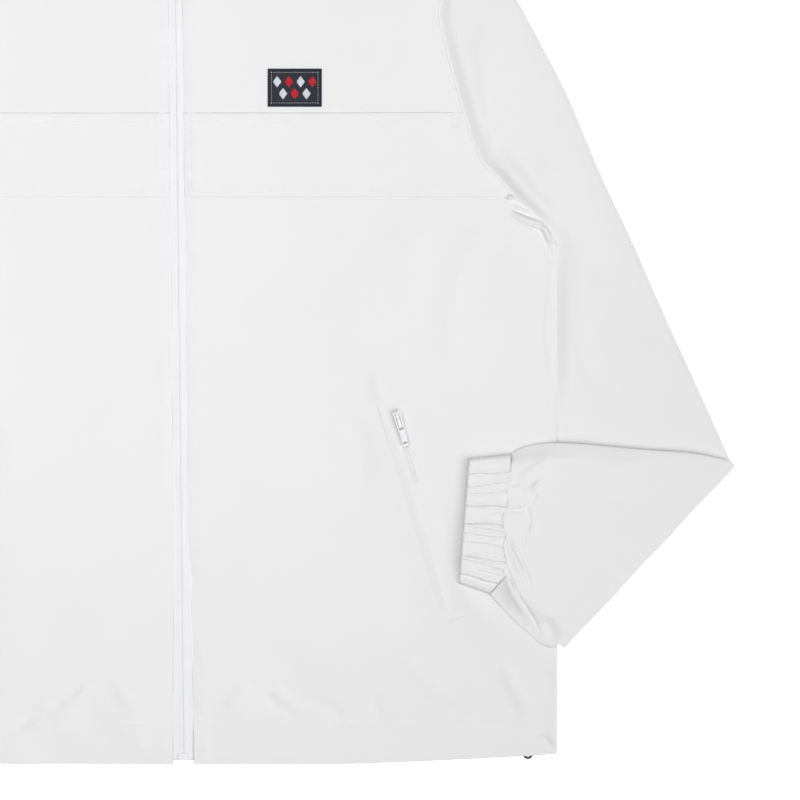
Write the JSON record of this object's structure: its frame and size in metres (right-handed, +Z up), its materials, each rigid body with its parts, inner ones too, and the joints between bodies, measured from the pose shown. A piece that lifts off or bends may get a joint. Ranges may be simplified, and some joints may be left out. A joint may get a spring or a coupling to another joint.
{
  "type": "windbreaker",
  "caption": "Light zip-front windbreaker laid flat face up, with stand collar, slanted zip pockets, gathered cuffs and forearms folded over the body.",
  "frame": {"origin": "on the surface that the garment lies on, below the middle of its outer box", "axes": "+X to the wearer's left, +Y from hem to collar, +Z up out of the front"},
  "size_m": [0.8556, 0.728, 0.0167],
  "materials": {
    "shell_cloth": "thin matt white woven shell cloth with a faint sheen",
    "zip_tape": "white woven zip tape, slightly bluish",
    "zip_plastic": "smooth white moulded plastic",
    "woven_patch": "dark navy woven patch with small red and white motifs",
    "elastic_cord": "dark elastic cord"
  },
  "bodies": {
    "garment": {"back": "shell_cloth", "front_lower_left": "shell_cloth", "front_lower_right": "shell_cloth", "chest_band_left": "shell_cloth", "chest_band_right": "shell_cloth", "yoke_left": "shell_cloth", "yoke_right": "shell_cloth", "collar": "shell_cloth", "sleeve_left": "shell_cloth", "sleeve_right": "shell_cloth", "cuff_left": "shell_cloth", "cuff_right": "shell_cloth", "pocket_welt_left": "shell_cloth", "pocket_welt_right": "shell_cloth", "pocket_zip_left": "zip_tape", "pocket_zip_right": "zip_tape", "zip_tape_left": "zip_tape", "zip_tape_right": "zip_tape", "zip_chain": "zip_tape", "zip_box": "zip_plastic", "zip_slider": "zip_plastic", "pocket_slider_left": "zip_plastic", "pocket_slider_right": "zip_plastic", "chest_patch": "woven_patch", "hem_cord_left": "elastic_cord", "hem_cord_right": "elastic_cord"},
    "front_zip_pull": {"zip_pull": "zip_plastic"},
    "left_pocket_pull": {"pocket_pull_left": "zip_plastic"},
    "right_pocket_pull": {"pocket_pull_right": "zip_plastic"}
  },
  "joints": [
    {"name": "front_zip_pull_swing", "type": "hinge", "parent": "garment", "child": "front_zip_pull", "pos_m": [-0.0024, 0.279, 0.0058], "axis": [-1, 0, 0], "range_deg": [0, 165]},
    {"name": "left_pocket_pull_swing", "type": "hinge", "parent": "garment", "child": "left_pocket_pull", "pos_m": [0.16905, -0.09742, 0.01188], "axis": [-0.9605, -0.2782, 0], "range_deg": [0, 165]},
    {"name": "right_pocket_pull_swing", "type": "hinge", "parent": "garment", "child": "right_pocket_pull", "pos_m": [-0.16905, -0.09742, 0.01184], "axis": [-0.9605, 0.2782, 0], "range_deg": [0, 165]}
  ]
}
